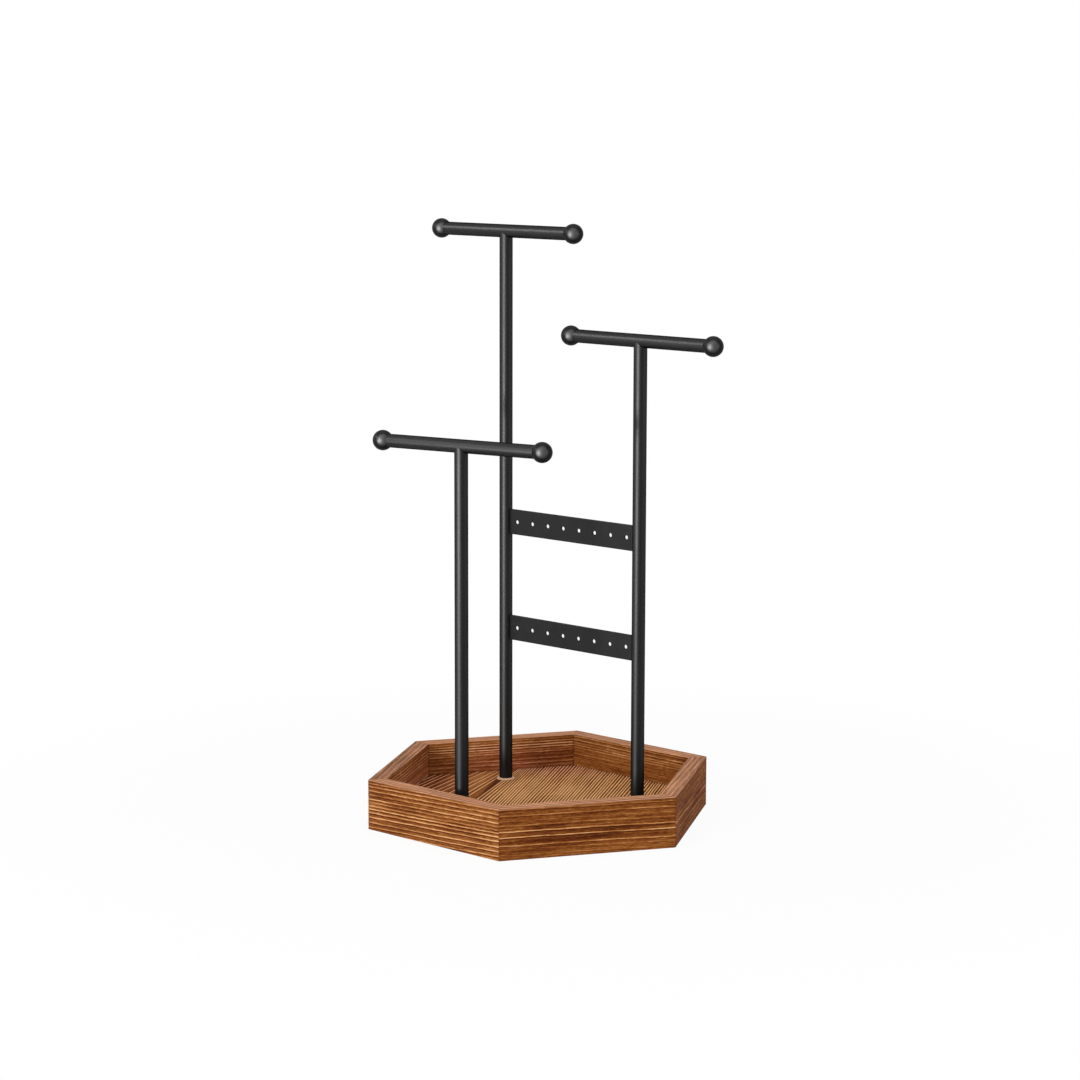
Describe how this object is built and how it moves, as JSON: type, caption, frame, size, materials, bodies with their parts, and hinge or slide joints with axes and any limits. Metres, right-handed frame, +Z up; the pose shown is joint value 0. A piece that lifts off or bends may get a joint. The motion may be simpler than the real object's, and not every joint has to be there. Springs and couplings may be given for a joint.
{
  "type": "jewelry stand",
  "caption": "Free-standing jewelry stand: an open six-sided wooden tray with three T-shaped metal posts of different heights and perforated strips between the two rear posts.",
  "frame": {"origin": "centre of the tray's hexagon, level with the underside of its walls", "axes": "+Z up, +X along the earring strips, -Y towards the short post"},
  "size_m": [0.2286, 0.1844, 0.354],
  "materials": {
    "stained_wood": "brushed softwood, stained warm brown",
    "pale_wood": "plain pale wood",
    "black_coat": "satin black powder coat",
    "plated_steel": "zinc-plated steel"
  },
  "bodies": {
    "stand": {"tray_wall_front": "stained_wood", "tray_wall_front_right": "stained_wood", "tray_wall_back_right": "stained_wood", "tray_wall_back": "stained_wood", "tray_wall_back_left": "stained_wood", "tray_wall_front_left": "stained_wood", "tray_floor": "stained_wood", "tall_post": "black_coat", "tall_crossbar": "black_coat", "tall_ball_left": "black_coat", "tall_ball_right": "black_coat", "tall_foot_plug": "plated_steel", "tall_seat_ring": "pale_wood", "tall_washer": "plated_steel", "tall_screw": "plated_steel", "middle_post": "black_coat", "middle_crossbar": "black_coat", "middle_ball_left": "black_coat", "middle_ball_right": "black_coat", "middle_foot_plug": "plated_steel", "middle_seat_ring": "pale_wood", "middle_washer": "plated_steel", "middle_screw": "plated_steel", "short_seat_ring": "pale_wood", "short_washer": "plated_steel", "earring_strip_lower": "black_coat", "earring_strip_upper": "black_coat"},
    "short_t_post": {"short_post": "black_coat", "short_crossbar": "black_coat", "short_ball_left": "black_coat", "short_ball_right": "black_coat", "short_foot_plug": "plated_steel", "short_screw": "plated_steel"}
  },
  "joints": [
    {"name": "short_post_turn", "type": "hinge", "parent": "stand", "child": "short_t_post", "pos_m": [0, -0.0675, 0.01], "axis": [0, 0, 1], "range_deg": [-90, 90]}
  ]
}
